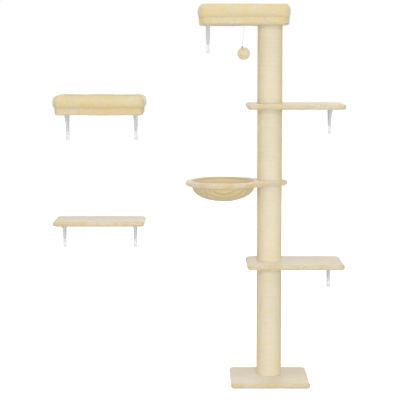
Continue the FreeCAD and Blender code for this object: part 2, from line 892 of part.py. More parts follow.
def toy():
    """A screw eye, the string's loop in it, the string, its crimp and the ball."""
    across, along = FreeCAD.Vector(1, 0, 0), FreeCAD.Vector(0, 1, 0)
    eye = ring("eye_ring", "sizes.eye_radius", "sizes.eye_wire", across, EYE_CENTRE)
    shank = cylinder(
        "eye_shank",
        "sizes.eye_wire",
        "sizes.eye_neck + sizes.eye_wire + sizes.eye_grip",
        "sizes.toy_x",
        "sizes.toy_y",
        f"{PERCH} - sizes.eye_neck - sizes.eye_wire",
    )
    node(fused("toy_eye", [eye, shank]), "toy_eye")
    loop = ring("loop_ring", "sizes.loop_radius", "sizes.string_radius", along, LOOP_CENTRE)
    knot = doc.addObject("Part::Sphere", "loop_knot")
    knot.setExpression("Radius", "sizes.knot_radius")
    place(knot, "sizes.toy_x", "sizes.toy_y", KNOT)
    node(fused("toy_loop", [loop, knot]), "toy_loop")
    ball = doc.addObject("Part::Sphere", "toy_ball")
    ball.setExpression("Radius", "sizes.ball_radius")
    node(place(ball, "sizes.toy_x", "sizes.toy_y", BALL), "toy_ball")
    string = cylinder("toy_string", "sizes.string_radius", f"{CRIMP_AT} - {STRING_START}")
    node(hung(string, STRING_START), "toy_string")
    collar = cylinder(
        "crimp_blank", "sizes.crimp_radius", "sizes.crimp_height + sizes.crimp_radius"
    )
    node(cut("toy_crimp", hung(collar, CRIMP_AT), ball), "toy_crimp")


# ---- Everything ----------------------------------------------------------------------

base()
post()
end_bolts()
tree_shelf("lower_shelf", LOWER_SHELF)
hammock()
tree_shelf("upper_shelf", UPPER_SHELF)
perch()
toy()
wall_shelf(
    "bed_shelf",
    {"left": BED_LEFT_BRACKET, "right": BED_RIGHT_BRACKET},
    "sizes.perch_corner",
    padded=True,
)
wall_shelf(
    "plain_shelf",
    {"left": PLAIN_LEFT_BRACKET, "right": PLAIN_RIGHT_BRACKET},
    "sizes.shelf_corner",
    padded=False,
)
doc.recompute()

for item in doc.Objects:
    if "Invalid" in item.State or "Error" in item.State:
        raise RuntimeError(f"{item.Name} failed: {item.State}")
os.makedirs("parts", exist_ok=True)
for item in nodes:
    if item.Shape.isNull() or not item.Shape.isValid():
        raise RuntimeError(f"{item.Label} has no valid shape")
    item.Shape.exportStep(f"parts/{item.Label}.step")
    print(item.Label, len(item.Shape.Solids), round(item.Shape.Volume), item.Shape.BoundBox)
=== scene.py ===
"""The looks of the wall mounted cat tree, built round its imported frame.

Metres, in the frame's own axes: +Z is up, +X is to the right and the wall is at +Y, so the
front faces -Y. The post's axis is the line X = Y = 0. Sizes are written in millimetres,
times MM.
"""

import bmesh
import bpy
import json
import math
from mathutils import Matrix, Vector, noise
from mathutils.bvhtree import BVHTree


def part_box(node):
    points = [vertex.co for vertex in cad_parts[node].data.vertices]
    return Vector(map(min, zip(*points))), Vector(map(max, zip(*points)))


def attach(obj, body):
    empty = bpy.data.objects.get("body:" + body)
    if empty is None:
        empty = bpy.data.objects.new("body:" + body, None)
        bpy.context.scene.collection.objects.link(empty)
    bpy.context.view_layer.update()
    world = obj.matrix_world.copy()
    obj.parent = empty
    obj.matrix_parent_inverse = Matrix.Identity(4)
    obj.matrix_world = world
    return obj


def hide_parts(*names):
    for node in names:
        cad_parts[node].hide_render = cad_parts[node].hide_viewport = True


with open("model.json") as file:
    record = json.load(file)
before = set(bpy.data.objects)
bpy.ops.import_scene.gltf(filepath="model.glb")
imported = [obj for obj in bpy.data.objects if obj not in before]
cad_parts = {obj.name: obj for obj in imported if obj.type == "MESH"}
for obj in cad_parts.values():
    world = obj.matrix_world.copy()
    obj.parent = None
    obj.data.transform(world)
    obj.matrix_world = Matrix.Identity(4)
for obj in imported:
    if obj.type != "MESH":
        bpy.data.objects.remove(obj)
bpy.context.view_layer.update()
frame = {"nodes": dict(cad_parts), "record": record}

MM = 0.001

# The frame's bodies: all that stands still, and the two that swing.
TREE = "cat_tree"
LOOP = "string_loop"
BALL = "hanging_ball"

# Two vertex attributes that the plush shaders read: how deep in a seam or crease a point is,
# where painted shade darkens the colour, and how much its pile is brushed up, as it is where a
# cat lies, which inside the hammock's bowl is painted light.
SEAM_SHADE = "seam"
BRUSHED_AND_PAINTED_LIGHT = "fluff"


# ---- Shader tools --------------------------------------------------------------------

# What makes a Mix node mix colours. Its factor is then input 0, its colours are inputs 6
# and 7, and the mixed colour is output 2.
COLOURS = {"output": 2, "data_type": "RGBA"}


def linear(colour):
    """An sRGB hex colour as linear RGBA."""
    parts = [int(colour[i:i + 2], 16) / 255 for i in (1, 3, 5)]
    return [c / 12.92 if c <= 0.04045 else ((c + 0.055) / 1.055) ** 2.4 for c in parts] + [1.0]


def node(tree, kind, inputs=None, output=0, **settings):
    """Add a shader node with its settings and its inputs, which are values or the outputs of
    other nodes. What comes back is one of its outputs."""
    made = tree.nodes.new("ShaderNode" + kind)
    for name, value in settings.items():
        setattr(made, name, value)
    for socket, value in (inputs or {}).items():
        if isinstance(value, bpy.types.NodeSocket):
            tree.links.new(value, made.inputs[socket])
        else:
            made.inputs[socket].default_value = value
    return made.outputs[output] if made.outputs else made


# ---- Camera and light ----------------------------------------------------------------

# The camera stands in front of the tree and looks down by a few degrees. Its lens and its
# sensor are in millimetres, and how far it sees is in metres.
CAMERA_AT = Vector((-333.5, -6380.3, 1570.6)) * MM
CAMERA_TILT = 4.52
LENS = 120.08
SENSOR = 36
FRAME_SHIFT = -0.10
CLIP_END = 100

# The softboxes: where each stands and what point it faces, in metres, the length of its
# side, its watts and its colour.
SOFTBOXES = {
    "front_softbox": ((0.0, -9.0, 2.2), (-0.3, 0, 0.95), 3.2, 320, "#FFFFFF"),
    "low_softbox": ((0.0, -7.5, 0.4), (-0.3, 0, 1.1), 2.4, 98, "#FFFFFF"),
    "top_softbox": ((-0.3, -1.6, 7.5), (-0.3, 0, 0.9), 3.0, 118, "#ECF3FF"),
    "back_softbox": ((-0.4, 8.0, 3.4), (-0.3, 0, 0.95), 3.0, 150, "#F4F8FF"),
}
# The room's own light, a little warm.
AMBIENT_COLOUR = "#FFF6E4"
AMBIENT = 0.56
WHITE = "#FFFFFF"
# The floor: its paint, its glow for the lens, and how far it runs to each side, in metres.
FLOOR_PAINT = "#D7D7D7"
FLOOR_GLOW = 0.83
FLOOR_REACH = 30


def set_camera():
    """The view from in front, in colours that are shown as they are."""
    data = bpy.data.cameras.new("camera")
    data.sensor_width = SENSOR
    data.lens = LENS
    data.shift_y = FRAME_SHIFT
    data.clip_end = CLIP_END
    camera = bpy.data.objects.new("camera", data)
    bpy.context.scene.collection.objects.link(camera)
    camera.location = CAMERA_AT
    camera.rotation_euler = (math.radians(90 - CAMERA_TILT), 0, 0)
    bpy.context.scene.camera = camera
    bpy.context.scene.view_settings.view_transform = "Standard"


def softbox(name, at, aim, size, watts, colour):
    """A square studio light that faces a point."""
    data = bpy.data.lights.new(name, "AREA")
    data.size = size
    data.energy = watts
    data.color = linear(colour)[:3]
    light = bpy.data.objects.new(name, data)
    bpy.context.scene.collection.objects.link(light)
    light.location = at
    light.rotation_euler = (Vector(aim) - Vector(at)).to_track_quat("-Z", "Y").to_euler()


def seen_directly(tree):
    """1 for the rays of the lens, of reflections and of glass, and 0 for the rest."""
    path = node(tree, "LightPath").node
    lens = path.outputs["Is Camera Ray"]
    glossy = path.outputs["Is Glossy Ray"]
    through = path.outputs["Is Transmission Ray"]
    either = node(tree, "Math", {0: lens, 1: glossy}, operation="MAXIMUM")
    return node(tree, "Math", {0: either, 1: through}, operation="MAXIMUM")


def set_light():
    """A white room: the world is plain white to the lens and in reflections, and dimmer as
    a light, with softboxes in front, near the floor, above and behind."""
    world = bpy.data.worlds.new("white_room")
    bpy.context.scene.world = world
    world.use_nodes = True
    tree = world.node_tree
    tree.nodes.clear()
    seen = seen_directly(tree)
    ambient = node(tree, "Background", {"Color": linear(AMBIENT_COLOUR), "Strength": AMBIENT})
    plain = node(tree, "Background", {"Color": linear(WHITE), "Strength": 1.0})
    both = node(tree, "MixShader", {0: seen, 1: ambient, 2: plain})
    node(tree, "OutputWorld", {"Surface": both})
    for name, how in SOFTBOXES.items():
        softbox(name, *how)


def lay_floor():
    """A white floor that keeps soft shadows and glows a little for the lens, so that it runs
    into the white of the room."""
    bm = bmesh.new()
    bmesh.ops.create_grid(bm, x_segments=1, y_segments=1, size=FLOOR_REACH)
    mesh = bpy.data.meshes.new("floor")
    bm.to_mesh(mesh)
    bm.free()
    floor = bpy.data.objects.new("floor", mesh)
    bpy.context.scene.collection.objects.link(floor)
    material = bpy.data.materials.new("matt_white_floor")
    material.use_nodes = True
    tree = material.node_tree
    tree.nodes.clear()
    seen = seen_directly(tree)
    matt = node(tree, "BsdfDiffuse", {"Color": linear(FLOOR_PAINT)})
    dark = node(tree, "Emission", {"Color": linear(WHITE), "Strength": 0.0})
    glow = node(tree, "Emission", {"Color": linear(WHITE), "Strength": FLOOR_GLOW})
    added = node(tree, "MixShader", {0: seen, 1: dark, 2: glow})
    both = node(tree, "AddShader", {0: matt, 1: added})
    node(tree, "OutputMaterial", {"Surface": both})
    mesh.materials.append(material)


# ---- Materials -----------------------------------------------------------------------

# The tufts of the plush's pile, drawn twice as coarse as they are, so that they show.
PILE = 1.6 * MM
# The sisal is a 6 mm rope, wound so tightly that each turn is pressed against the next
# and only its crown stays round.
ROPE = 6 * MM
ROPE_GAP = 0.1 * MM
ROPE_CROWN = 1.9 * MM
# Twists of the rope's strands in one turn round the post. Three strands with a lay of
# 19 mm make 60, a whole number, so the pattern closes on itself.
TWISTS_PER_TURN = 60


def new_material(name, **fixed):
    """A material with one Principled shader, whose plain numbers are set on its sockets."""
    material = bpy.data.materials.new(name)
    material.use_nodes = True
    shader = material.node_tree.nodes["Principled BSDF"]
    for socket, value in fixed.items():
        shader.inputs[socket.replace("_", " ")].default_value = value
    return material, material.node_tree, shader


def plush(name, deep, tips, lay, clump=7, brushed=60, sheen=1.0, patchy=0.8):
    """Sheared polyester plush: a knitted back with a dense 4 mm pile. It is matt, its tips
    are paler than its depths, and the pile stands in clumps. Patches lie over where a hand
    has brushed it, and patchy is how much they differ. The sheen is the pile's own: tips
    catch light when they are seen across the surface. Along seams and creases the colour is
    darkened towards that of the depths as painted shade. Where the pile is brushed up it is
    paler, towards its tips, and inside the hammock's bowl this paling is painted light.
    Clumps and patches are in mm."""
    material, tree, shader = new_material(
        name,
        Roughness=0.95,
        Specular_IOR_Level=0.15,
        Sheen_Weight=sheen,
        Sheen_Roughness=0.6,
        Sheen_Tint=linear("#F9FAFA"),
    )
    place = node(tree, "TexCoord", output="Object")
    tufts = node(
        tree,
        "TexNoise",
        {"Vector": place, "Scale": 1 / (clump * MM), "Detail": 4, "Roughness": 0.72},
    )
    patches = node(
        tree,
        "TexNoise",
        {"Vector": place, "Scale": 1 / (brushed * MM), "Detail": 5, "Roughness": 0.55},
    )
    depth = node(tree, "MapRange", {"Value": tufts, "From Min": 0.3, "From Max": 0.7})
    lie = node(
        tree,
        "MapRange",
        {
            "Value": patches,
            "From Min": 0.38,
            "From Max": 0.62,
            "To Min": 0.4 - patchy / 2,
            "To Max": 0.4 + patchy / 2,
        },
    )
    pile = node(tree, "Mix", {0: depth, 6: linear(deep), 7: linear(tips)}, **COLOURS)
    combed = node(tree, "Mix", {0: lie, 6: pile, 7: linear(lay)}, **COLOURS)
    # Brushed-up pile is paler, towards the tips; inside the hammock's bowl this paling is
    # painted light.
    fluff = node(tree, "Attribute", output="Fac", attribute_name=BRUSHED_AND_PAINTED_LIGHT)
    raised = node(tree, "Mix", {0: fluff, 6: combed, 7: linear(tips)}, **COLOURS)
    # Painted shade: the colour is darkened towards the depths along seams and creases.
    seam = node(tree, "Attribute", output="Fac", attribute_name=SEAM_SHADE)
    painted_seam_shade = node(tree, "Math", {0: seam, 1: 0.6}, operation="MULTIPLY")
    colour = node(tree, "Mix", {0: painted_seam_shade, 6: raised, 7: linear(deep)}, **COLOURS)
    tree.links.new(colour, shader.inputs["Base Color"])
    tip = node(tree, "TexNoise", {"Vector": place, "Scale": 1 / PILE, "Detail": 2})
    tufted = node(tree, "Math", {0: tip, 1: 0.7, 2: tufts}, operation="MULTIPLY_ADD")
    height = node(tree, "Math", {0: tufted, 1: patches}, operation="ADD")
    bump = node(tree, "Bump", {"Height": height, "Distance": 0.9 * MM, "Strength": 0.8})
    tree.links.new(bump, shader.inputs["Normal"])
    return material


def sisal_rope():
    """Natural sisal rope: three strands of dry leaf fibre twisted together. The strands show
    as slanted humps and the fibres as fine streaks along the rope. The grooves between turns
    are darkened in colour as painted shade. Turns and lengths differ in colour as the fibre
    does."""
    material, tree, shader = new_material(
        "natural_sisal_rope",
        Roughness=0.85,
        Specular_IOR_Level=0.2,
        Sheen_Weight=0.6,
        Sheen_Roughness=0.5,
        Sheen_Tint=linear("#EFD066"),
    )
    place = node(tree, "TexCoord", output="Object")
    axes = node(tree, "SeparateXYZ", {0: place}).node
    sides = {0: axes.outputs["Y"], 1: axes.outputs["X"]}
    around = node(tree, "Math", sides, operation="ARCTAN2")
    turns = {0: axes.outputs["Z"], 1: math.tau / ROPE}
    rise = node(tree, "Math", turns, operation="MULTIPLY")
    across = node(tree, "Math", {0: rise, 1: around}, operation="SUBTRACT")
    twists = {0: around, 1: TWISTS_PER_TURN, 2: across}
    twist = node(tree, "Math", twists, operation="MULTIPLY_ADD")
    strand = node(tree, "Math", {0: twist}, operation="SINE")
    crown = node(tree, "Math", {0: across}, operation="COSINE")
    # Streaks 5 mm long and a ninth as thick: a fibre is half as thick, too fine to show.
    streaks_at = node(tree, "Mapping", {"Vector": place, "Scale": (1, 1, 9)})
    fibre = node(
        tree,
        "TexNoise",
        {"Vector": streaks_at, "Scale": 1 / (5 * MM), "Detail": 4, "Roughness": 0.7},
    )
    # Lengths of other colour, 40 mm along the rope and about three turns high.
    lengths_at = node(tree, "Mapping", {"Vector": place, "Scale": (1, 1, 2.2)})
    lengths = node(
        tree,
        "TexNoise",
        {"Vector": lengths_at, "Scale": 1 / (40 * MM), "Detail": 4, "Roughness": 0.6},
    )
    fine = node(tree, "MapRange", {"Value": fibre, "From Min": 0.3, "From Max": 0.7})
    straw = node(
        tree, "Mix", {0: fine, 6: linear("#E3DECF"), 7: linear("#F4F4EE")}, **COLOURS
    )
    batch = node(
        tree,
        "MapRange",
        {"Value": lengths, "From Min": 0.38, "From Max": 0.66, "To Max": 0.45},
    )
    toned = node(tree, "Mix", {0: batch, 6: straw, 7: linear("#EDE3B7")}, **COLOURS)
    # Painted shade: the colour darkens towards the grooves between turns.
    groove_shade = node(
        tree,
        "MapRange",
        {"Value": crown, "From Min": -1.0, "From Max": 0.1, "To Min": 0.55, "To Max": 0.0},
    )
    colour = node(tree, "Mix", {0: groove_shade, 6: toned, 7: linear("#D8C69B")}, **COLOURS)
    tree.links.new(colour, shader.inputs["Base Color"])
    humps = node(tree, "Math", {0: strand, 1: 0.5, 2: fibre}, operation="MULTIPLY_ADD")
    bump = node(tree, "Bump", {"Height": humps, "Distance": 0.4 * MM, "Strength": 0.7})
    tree.links.new(bump, shader.inputs["Normal"])
    return material


def powder_coat():
    """Pressed steel with a satin, pale grey powder coat: smooth, with the faint orange peel
    of powder that has flowed, and slightly dull where dust settles."""
    material, tree, shader = new_material(
        "satin_powder_coated_steel", Roughness=0.42, Specular_IOR_Level=0.5, IOR=1.5
    )
    place = node(tree, "TexCoord", output="Object")
    # The humps of the peel are about a millimetre wide, and dust lies in wide patches.
    peel = node(tree, "TexNoise", {"Vector": place, "Scale": 1 / (1.2 * MM), "Detail": 1})
    dust = node(tree, "TexNoise", {"Vector": place, "Scale": 1 / (30 * MM), "Detail": 3})
    colour = node(
        tree, "Mix", {0: dust, 6: linear("#D4DBE8"), 7: linear("#DBE1EC")}, **COLOURS
    )
    tree.links.new(colour, shader.inputs["Base Color"])
    bump = node(tree, "Bump", {"Height": peel, "Distance": 0.02 * MM, "Strength": 0.1})
    tree.links.new(bump, shader.inputs["Normal"])
    return material


def zinc_plate():
    """Bright zinc plate on turned steel: a cool grey metal with fine turning lines."""
    material, tree, shader = new_material("bright_zinc_plate", Metallic=1.0, Roughness=0.34)
    place = node(tree, "TexCoord", output="Object")
    # Lines 2 mm long and a twelfth as thick, as a lathe's feed leaves them.
    lines_at = node(tree, "Mapping", {"Vector": place, "Scale": (1, 1, 12)})
    lines = node(tree, "TexNoise", {"Vector": lines_at, "Scale": 1 / (2 * MM), "Detail": 2})
    colour = node(
        tree, "Mix", {0: lines, 6: linear("#B4B7BA"), 7: linear("#D2D4D6")}, **COLOURS
    )
    tree.links.new(colour, shader.inputs["Base Color"])
    bump = node(tree, "Bump", {"Height": lines, "Distance": 0.03 * MM, "Strength": 0.5})
    tree.links.new(bump, shader.inputs["Normal"])
    return material


def speckled(name, dark, light, grain, stretch=(1, 1, 1)):
    """A raw inner material, such as chipboard, softwood, card or foam: dull, with two
    colours mixed by grains of its own size in mm, stretched the way that it was made."""
    material, tree, shader = new_material(name, Roughness=0.8, Specular_IOR_Level=0.2)
    place = node(tree, "TexCoord", output="Object")
    grains_at = node(tree, "Mapping", {"Vector": place, "Scale": stretch})
    grains = node(
        tree, "TexVoronoi", {"Vector": grains_at, "Scale": 1 / (grain * MM)}, output="Color"
    )
    each = node(tree, "SeparateColor", {0: grains})
    colour = node(tree, "Mix", {0: each, 6: linear(dark), 7: linear(light)}, **COLOURS)
    tree.links.new(colour, shader.inputs["Base Color"])
    bump = node(tree, "Bump", {"Height": each, "Distance": 0.3 * MM, "Strength": 0.4})
    tree.links.new(bump, shader.inputs["Normal"])
    return material


def twisted_string():
    """White polyester cord, 1.8 mm thick, whose twist shows as fine slanted lines."""
    material, tree, shader = new_material(
        "white_polyester_cord", Roughness=0.7, Specular_IOR_Level=0.3, Sheen_Weight=0.2
    )
    place = node(tree, "TexCoord", output="Object")
    slant = (0, math.radians(35), 0)
    turned = node(tree, "Mapping", {"Vector": place, "Rotation": slant})
    # A wave repeats at a third of its scale, so this gives a ply each millimetre.
    plies = node(
        tree,
        "TexWave",
        {"Vector": turned, "Scale": 1 / (3.2 * MM), "Distortion": 0.6},
        output="Fac",
        bands_direction="Z",
    )
    colour = node(
        tree, "Mix", {0: plies, 6: linear("#DCDDDC"), 7: linear("#F6F6F4")}, **COLOURS
    )
    tree.links.new(colour, shader.inputs["Base Color"])
    bump = node(tree, "Bump", {"Height": plies, "Distance": 0.2 * MM, "Strength": 0.7})
    tree.links.new(bump, shader.inputs["Normal"])
    return material


def olive_plastic():
    """A small dark olive clip of moulded nylon, a little rough from its mould."""
    material, tree, shader = new_material(
        "moulded_olive_nylon", Roughness=0.55, Specular_IOR_Level=0.4
    )
    place = node(tree, "TexCoord", output="Object")
    mould = node(tree, "TexNoise", {"Vector": place, "Scale": 1 / (0.8 * MM), "Detail": 2})
    colour = node(
        tree, "Mix", {0: mould, 6: linear("#3B3218"), 7: linear("#544828")}, **COLOURS
    )
    tree.links.new(colour, shader.inputs["Base Color"])
    bump = node(tree, "Bump", {"Height": mould, "Distance": 0.05 * MM, "Strength": 0.4})
    tree.links.new(bump, shader.inputs["Normal"])
    return material


# The finish of each slot. Plush takes the colours of its depths, its tips and its brushed
# patches, and a raw material its dark and its light grains.
MATERIALS = {
    "short_plush": plush("cream_short_plush", "#C9BA99", "#E1D8CA", "#D3BD84"),
    "bed_plush": plush(
        "cream_bed_plush",
        "#CDC09F",
        "#DED5C0",
        "#DAC48A",
        clump=9,
        brushed=70,
        sheen=0.7,
        patchy=0.6,
    ),
    "bowl_plush": plush(
        "golden_bowl_plush",
        "#B39A62",
        "#EFE2C0",
        "#DCC68E",
        clump=5,
        brushed=30,
        sheen=0.5,
    ),
    "ball_plush": plush(
        "cream_ball_plush", "#CDC19D", "#E8E2D4", "#DBC992", clump=8, brushed=25
    ),
    "sisal_rope": sisal_rope(),
    "particle_board": speckled("raw_particle_board", "#8C6A40", "#D2B080", 2.5, (1, 1, 3)),
    "turned_wood": speckled("turned_softwood", "#B98E58", "#D9B98A", 3, (1, 1, 0.1)),
    "card_tube": speckled("wound_card", "#8D7354", "#A98E6C", 4, (1, 1, 0.3)),
    "foam": speckled("open_cell_foam", "#D9D2BE", "#F0EBDC", 0.8),
    "white_steel": powder_coat(),
    "zinc_steel": zinc_plate(),
    "white_string": twisted_string(),
    "dark_crimp": olive_plastic(),
}


def finish_cad_nodes():
    """Give every CAD node the material of its own slot."""
    for part in frame["record"]["subparts"]:
        mesh = frame["nodes"][part["node"]].data
        mesh.materials.clear()
        mesh.materials.append(MATERIALS[part["material_slot"]])


# ---- Making pieces -------------------------------------------------------------------


def new_piece(name, bm, slot, body, *replaced):
    """Make a mesh object of a bmesh, give it its finish and hide the CAD nodes that it stands
    for.
    """
    bmesh.ops.recalc_face_normals(bm, faces=bm.faces)
    mesh = bpy.data.meshes.new(name)
    bm.to_mesh(mesh)
    bm.free()
    mesh.shade_smooth()
    mesh.materials.append(MATERIALS[slot])
    piece = bpy.data.objects.new(name, mesh)
    bpy.context.scene.collection.objects.link(piece)
    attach(piece, body)
    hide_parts(*replaced)
    return piece


def evaluated(bm, *modifiers):
    """Run modifiers, each a kind and its settings, on a bmesh and return the result."""
    mesh = bpy.data.meshes.new("blank")
    bm.to_mesh(mesh)
    bm.free()
    blank = bpy.data.objects.new("blank", mesh)
    bpy.context.scene.collection.objects.link(blank)
    for kind, settings in modifiers:
        modifier = blank.modifiers.new(kind, kind)
        for name, value in settings.items():
            setattr(modifier, name, value)
    graph = bpy.context.evaluated_depsgraph_get()
    result = bmesh.new()
    result.from_mesh(blank.evaluated_get(graph).to_mesh())
    bpy.data.objects.remove(blank)
    bpy.data.meshes.remove(mesh)
    return result


def remeshed(bm, voxel):
    """The same closed shape in even quads of one size."""
    return evaluated(bm, ("REMESH", {"mode": "VOXEL", "voxel_size": voxel}))


def soften(bm, rounds):
    """Even out a surface, so that its edges turn as padding does under cloth."""
    for _ in range(rounds):
        bmesh.ops.smooth_vert(
            bm, verts=bm.verts, factor=0.5, use_axis_x=True, use_axis_y=True, use_axis_z=True
        )


def rumple(bm, *layers):
    """Push the surface in and out, by layers of noise that are each a size and a height."""
    bm.normal_update()
    for vert in bm.verts:
        lift = sum(high * noise.noise(vert.co / wide) for wide, high in layers)
        vert.co += vert.normal * lift


def crease(bm, distance, width, depth, where=None):
    """Sink a soft furrow where a distance that is worked out from a point is nought, and mark
    it for painted shade, which darkens the plush's colour along it."""
    bm.normal_update()
    seam = bm.verts.layers.float.get(SEAM_SHADE) or bm.verts.layers.float.new(SEAM_SHADE)
    for vert in bm.verts:
        if where is None or where(vert):
            near = math.exp(-((distance(vert.co) / width) ** 2))
            vert.co -= vert.normal * depth * near
            vert[seam] = max(vert[seam], near)


def keep_off(bm, core, skin):
    """Push a cover out to where it clears the CAD node inside it by its own thickness."""
    mesh = frame["nodes"][core].data
    corners = [vert.co for vert in mesh.vertices]
    tree = BVHTree.FromPolygons(corners, [face.vertices for face in mesh.polygons])
    for vert in bm.verts:
        nearest, out, _, gap = tree.find_nearest(vert.co)
        is_inside = (vert.co - nearest).dot(out) < 0
        if is_inside or gap < skin:
            way = out if is_inside else (vert.co - nearest).normalized()
            vert.co = nearest + way * skin


# ---- Blocks --------------------------------------------------------------------------

# Two points that are no further apart than this lie at one height, or one above the other.
NEAR = 0.01 * MM
CORNER_SEGMENTS = 8
EDGE_SEGMENTS = 6


def block(low, high):
    """A box between two corners."""
    bm = bmesh.new()
    bmesh.ops.create_cube(bm, size=1)
    size = high - low
    middle = (low + high) / 2
    bmesh.ops.scale(bm, vec=size, verts=bm.verts)
    bmesh.ops.translate(bm, vec=middle, verts=bm.verts)
    return bm


def is_upright(edge):
    """Whether an edge runs straight up."""
    low, high = (vert.co for vert in edge.verts)
    return abs(low.z - high.z) > NEAR and (low.xy - high.xy).length < NEAR


def is_level_at(edge, height):
    """Whether an edge lies level at a height."""
    return all(abs(vert.co.z - height) < NEAR for vert in edge.verts)


def round_edges(bm, edges, radius, segments):
    """Round some edges off."""
    bmesh.ops.bevel(
        bm,
        geom=edges,
        offset=radius,
        segments=segments,
        profile=0.5,
        affect="EDGES",
        material=-1,
        clamp_overlap=True,
    )


def rounded_block(low, high, corner, foot, crown):
    """A box with rounded corners in plan and rounded lower and upper edges."""
    bm = block(low, high)
    round_edges(bm, [edge for edge in bm.edges if is_upright(edge)], corner, CORNER_SEGMENTS)
    for height, radius in ((low.z, foot), (high.z, crown)):
        level = [edge for edge in bm.edges if is_level_at(edge, height)]
        round_edges(bm, level, radius, EDGE_SEGMENTS)
    return bm


def in_from_sides(co, low, high):
    """How far a point lies in from the nearer of a block's sides, in X and in Y."""
    middle = (low + high) / 2
    half = (high - low) / 2
    return half.x - abs(co.x - middle.x), half.y - abs(co.y - middle.y)


def off_mitre(co, low, high):
    """How far a point lies from the line that halves a block's corner, as a mitre does."""
    x, y = in_from_sides(co, low, high)
    return (x - y) / math.sqrt(2)


# ---- The post ------------------------------------------------------------------------

TUBE_RADIUS = 54.2 * MM
POST_RADIUS = 60 * MM
# The steps of a turn round the post, and of the rope's round crown.
STEPS_PER_TURN = 48
CROWN_STEPS = 6
# A rope is never quite even: its crowns swell and shrink over such lengths by so much, about
# a line that lies a little inside the post's radius.
SWELL_LENGTH = 22 * MM
SWELL = 0.35 * MM
SWELL_INSIDE = 0.25 * MM


def rope_section(bm, height):
    """The rope's section as a closed outline: a D with its flat side on the tube."""
    half = ROPE / 2 - ROPE_GAP / 2
    corners = [Vector((TUBE_RADIUS, 0, height + side * half)) for side in (1, -1)]
    for i in range(CROWN_STEPS + 1):
        angle = math.radians(-90 + i * 180 / CROWN_STEPS)
        reach = POST_RADIUS - ROPE_CROWN + ROPE_CROWN * math.cos(angle)
        corners.append(Vector((reach, 0, height + half * math.sin(angle))))
    verts = [bm.verts.new(corner) for corner in corners]
    for i in range(len(verts)):
        bm.edges.new((verts[i - 1], verts[i]))


def wind_post(number):
    """One post's rope. The winding starts a turn below the post and runs a turn past its top,
    and both ends are cut off flush, as the boards press them flat."""
    low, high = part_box(f"post_{number}_sisal")
    first_turn = math.floor(low.z / ROPE) - 1
    turns = math.ceil(high.z / ROPE) + 1 - first_turn
    bm = bmesh.new()
    # The shader's pattern is crowned where z / ROPE - angle / full turn is whole.
    rope_section(bm, first_turn * ROPE)
    winding = {
        "axis": "Z",
        "screw_offset": ROPE,
        "iterations": turns,
        "steps": STEPS_PER_TURN,
        "render_steps": STEPS_PER_TURN,
    }
    bm = evaluated(bm, ("SCREW", winding))
    for height, side in ((low.z, -1), (high.z, 1)):
        cut = bmesh.ops.bisect_plane(
            bm,
            geom=bm.verts[:] + bm.edges[:] + bm.faces[:],
            plane_co=(0, 0, height),
            plane_no=(0, 0, side),
            clear_outer=True,
        )
        rim = [item for item in cut["geom_cut"] if isinstance(item, bmesh.types.BMEdge)]
        bmesh.ops.holes_fill(bm, edges=rim)
    for vert in bm.verts:
        out = Vector((vert.co.x, vert.co.y, 0))
        if out.length > TUBE_RADIUS + 1 * MM:
            swell = noise.noise(vert.co / SWELL_LENGTH) * SWELL
            vert.co += out.normalized() * (swell - SWELL_INSIDE)
    new_piece(f"sisal_winding_{number}", bm, "sisal_rope", TREE, f"post_{number}_sisal")


# ---- Boards in plush -----------------------------------------------------------------

# A bare board's and a padded one's rounded edges, the size of their meshes' quads, and how
# thick their covers are at least.
BOARD_EDGE = 10 * MM
BOARD_MESH = 3.5 * MM
BOARD_SKIN = 0.8 * MM
PADDED_EDGE = 3 * MM
PADDED_MESH = 4 * MM
PADDED_SKIN = 1.2 * MM
# How far a taut cover over foam pulls in from the sides of its deck.
DECK_PULL = 2 * MM
# The pleat at a corner, and the join of the plush under a board.
PLEAT_WIDTH = 2.0 * MM
PLEAT_DEPTH = 0.9 * MM
JOIN_WIDTH = 2.6 * MM
JOIN_DEPTH = 1.2 * MM


def corner_pleats(bm, low, high, corner):
    """Where the plush is folded round each corner of a board, a short pleat runs down it."""

    def is_at_corner(vert):
        x, y = in_from_sides(vert.co, low, high)
        return x < corner and y < corner

    crease(bm, lambda co: off_mitre(co, low, high), PLEAT_WIDTH, PLEAT_DEPTH, is_at_corner)


def plush_board(name, corner):
    """A board wrapped in short plush: soft rounded edges, a pleat at each corner and, under
    it, the line where the two edges of the plush meet."""
    node_name = name + "_cover"
    low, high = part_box(node_name)
    bm = remeshed(rounded_block(low, high, corner, BOARD_EDGE, BOARD_EDGE), BOARD_MESH)
    soften(bm, 3)
    corner_pleats(bm, low, high, corner)
    middle = (low.y + high.y) / 2

    def is_underneath(vert):
        return vert.normal.z < -0.9

    crease(bm, lambda co: co.y - middle, JOIN_WIDTH, JOIN_DEPTH, is_underneath)
    rumple(bm, (55 * MM, 0.8 * MM), (14 * MM, 0.35 * MM), (6 * MM, 0.35 * MM))
    keep_off(bm, name + "_board", BOARD_SKIN)
    new_piece(name + "_plush", bm, "short_plush", TREE, node_name)


def padded_board(name, corner, foot, pressed):
    """A board with foam under its plush, pressed thinner where a bolster is sewn on: its top
    lies lower by that much, and the taut cover pulls its sides in. Foot is the radius of its
    lower edges."""
    node_name = name + "_cover"
    low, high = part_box(node_name)
    low += Vector((DECK_PULL, DECK_PULL, 0))
    high -= Vector((DECK_PULL, DECK_PULL, pressed))
    bm = remeshed(rounded_block(low, high, corner, foot, PADDED_EDGE), PADDED_MESH)
    soften(bm, 3)
    corner_pleats(bm, low, high, corner)
    rumple(bm, (70 * MM, 1.6 * MM), (24 * MM, 0.9 * MM), (11 * MM, 0.4 * MM))
    for core in ("_board", "_foam"):
        keep_off(bm, name + core, PADDED_SKIN)
    piece = new_piece(name + "_plush", bm, "bed_plush", TREE, node_name)


# ---- The hammock's ring --------------------------------------------------------------

